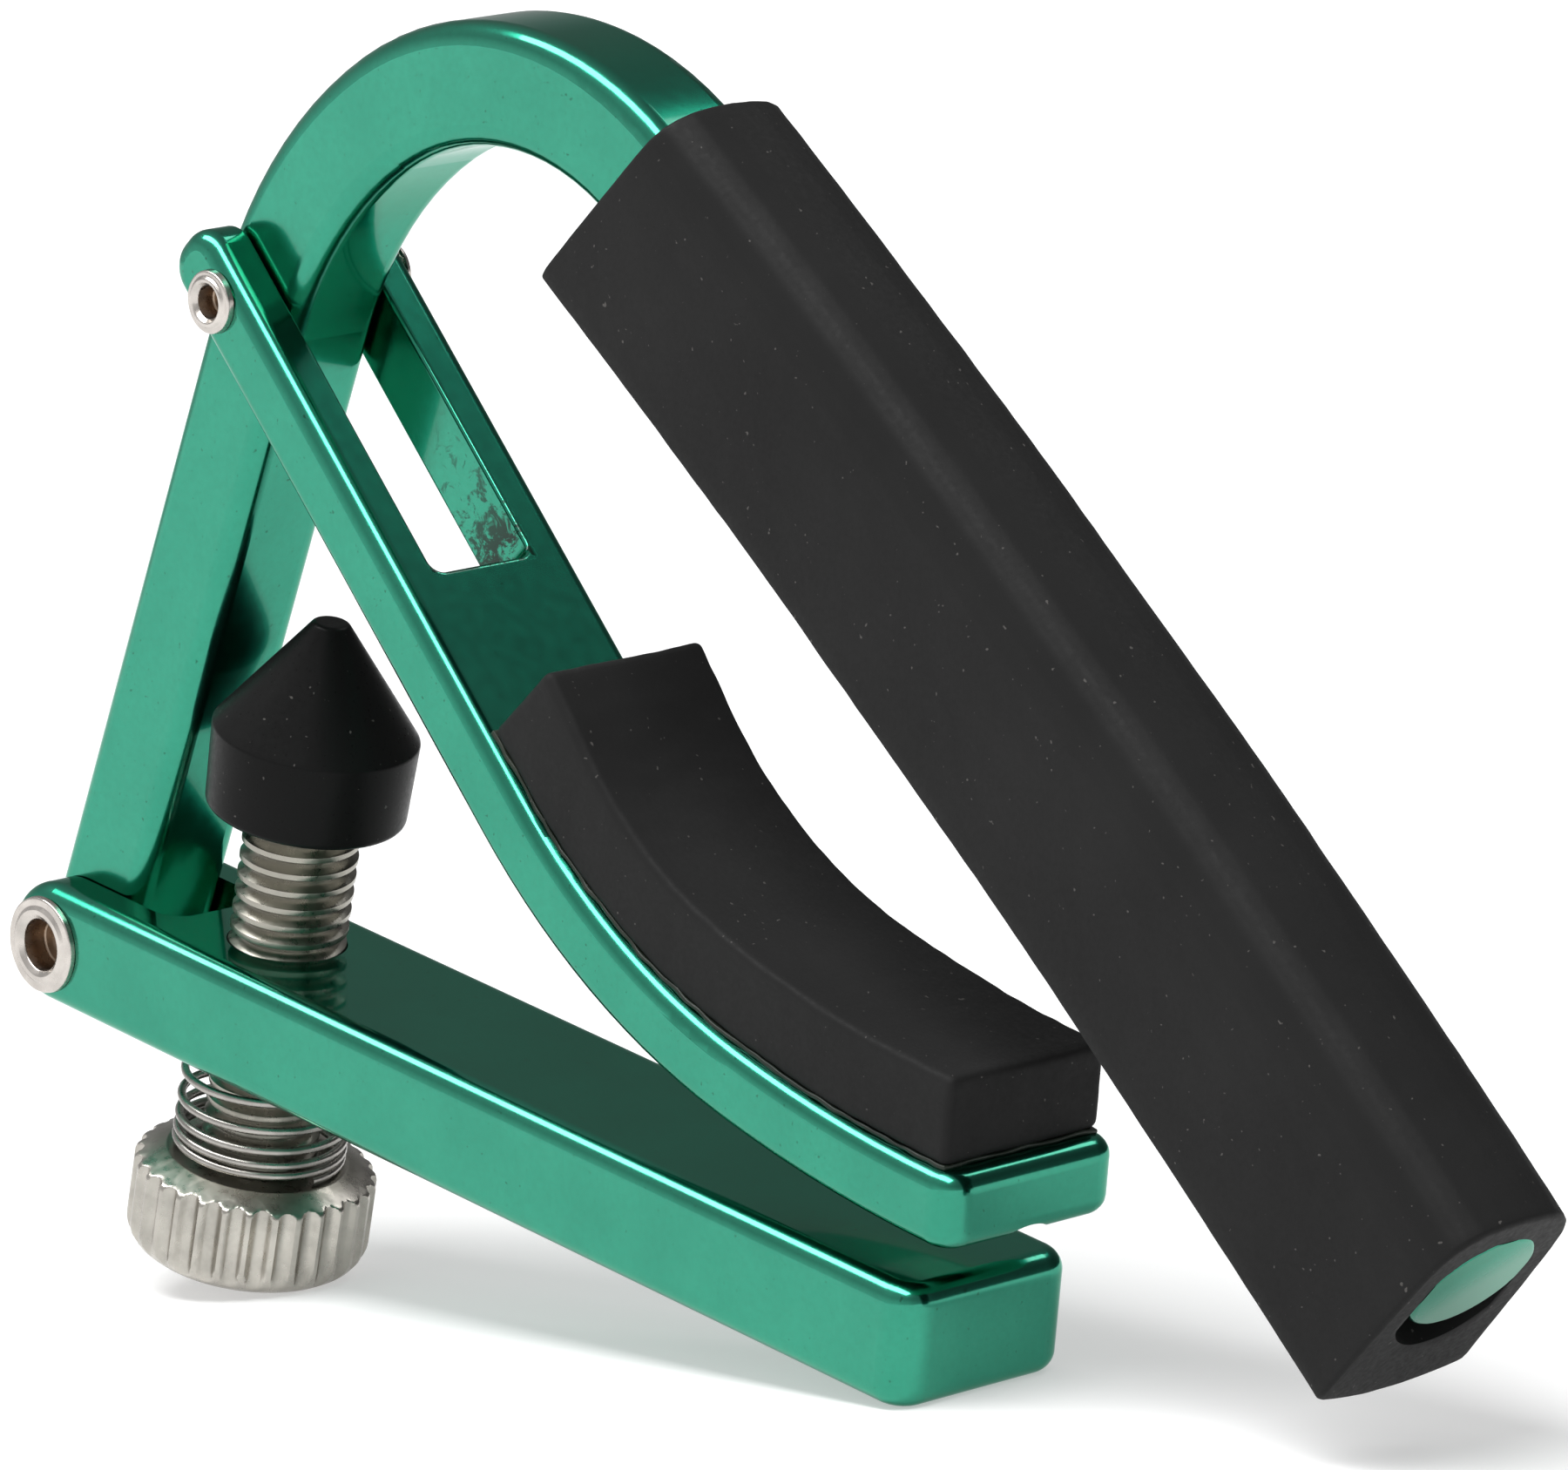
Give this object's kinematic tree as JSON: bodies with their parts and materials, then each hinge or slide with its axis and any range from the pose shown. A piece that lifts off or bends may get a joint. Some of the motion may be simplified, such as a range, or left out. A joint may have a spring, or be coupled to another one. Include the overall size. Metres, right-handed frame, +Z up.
{
  "type": "guitar capo",
  "caption": "Lever-operated guitar capo: a bent metal hook with a rubber sleeve over the strings, a padded swing arm, and a locking lever with a spring-loaded thumbscrew.",
  "frame": {"origin": "middle of the bottom of the part's box, on the surface it stands on", "axes": "+Z up; +X from the lever's pivot towards the free ends; +Y across the capo, along both pivots"},
  "size_m": [0.0844, 0.0104, 0.0542],
  "materials": {
    "green_metal": "green metallic lacquer, glossy",
    "sleeve_rubber": "matte black",
    "pad_rubber": "matte black, rough edges",
    "pad_glue": "dark glue film",
    "rivet_steel": "plated, rolled edges",
    "screw_steel": "turned and straight-knurled",
    "cap_plastic": "satin black",
    "spring_steel": "bright wire"
  },
  "bodies": {
    "frame": {"frame_bar": "green_metal", "string_sleeve": "sleeve_rubber"},
    "arm": {"neck_arm": "green_metal", "neck_pad": "pad_rubber", "pad_adhesive": "pad_glue", "arm_rivet": "rivet_steel"},
    "lever": {"locking_lever": "green_metal", "lever_rivet": "rivet_steel", "screw_spring": "spring_steel"},
    "tip": {"pressure_tip": "cap_plastic"},
    "screw": {"thumbscrew": "screw_steel"}
  },
  "joints": [
    {"name": "arm_hinge", "type": "hinge", "parent": "frame", "child": "arm", "pos_m": [-0.02432, 0, 0.04288], "axis": [0, 1, 0], "range_deg": [-6.8, 2.2]},
    {"name": "lever_hinge", "type": "hinge", "parent": "frame", "child": "lever", "pos_m": [-0.03964, 0, 0.0149], "axis": [0, 1, 0], "range_deg": [0, 100]},
    {"name": "tip_slide", "type": "slide", "parent": "lever", "child": "tip", "axis": [0.3256, 0, 0.9455], "range_m": [-0.004, 0.002], "deforming": ["screw_spring"]},
    {"name": "screw_spin", "type": "hinge", "parent": "tip", "child": "screw", "pos_m": [-0.02982, 0, 0.01254], "axis": [0.3256, 0, 0.9455], "range_deg": [-1801, 901]}
  ],
  "couplings": [
    {"joint": "screw_spin", "follows": "tip_slide", "rad_per_m": 7854}
  ]
}
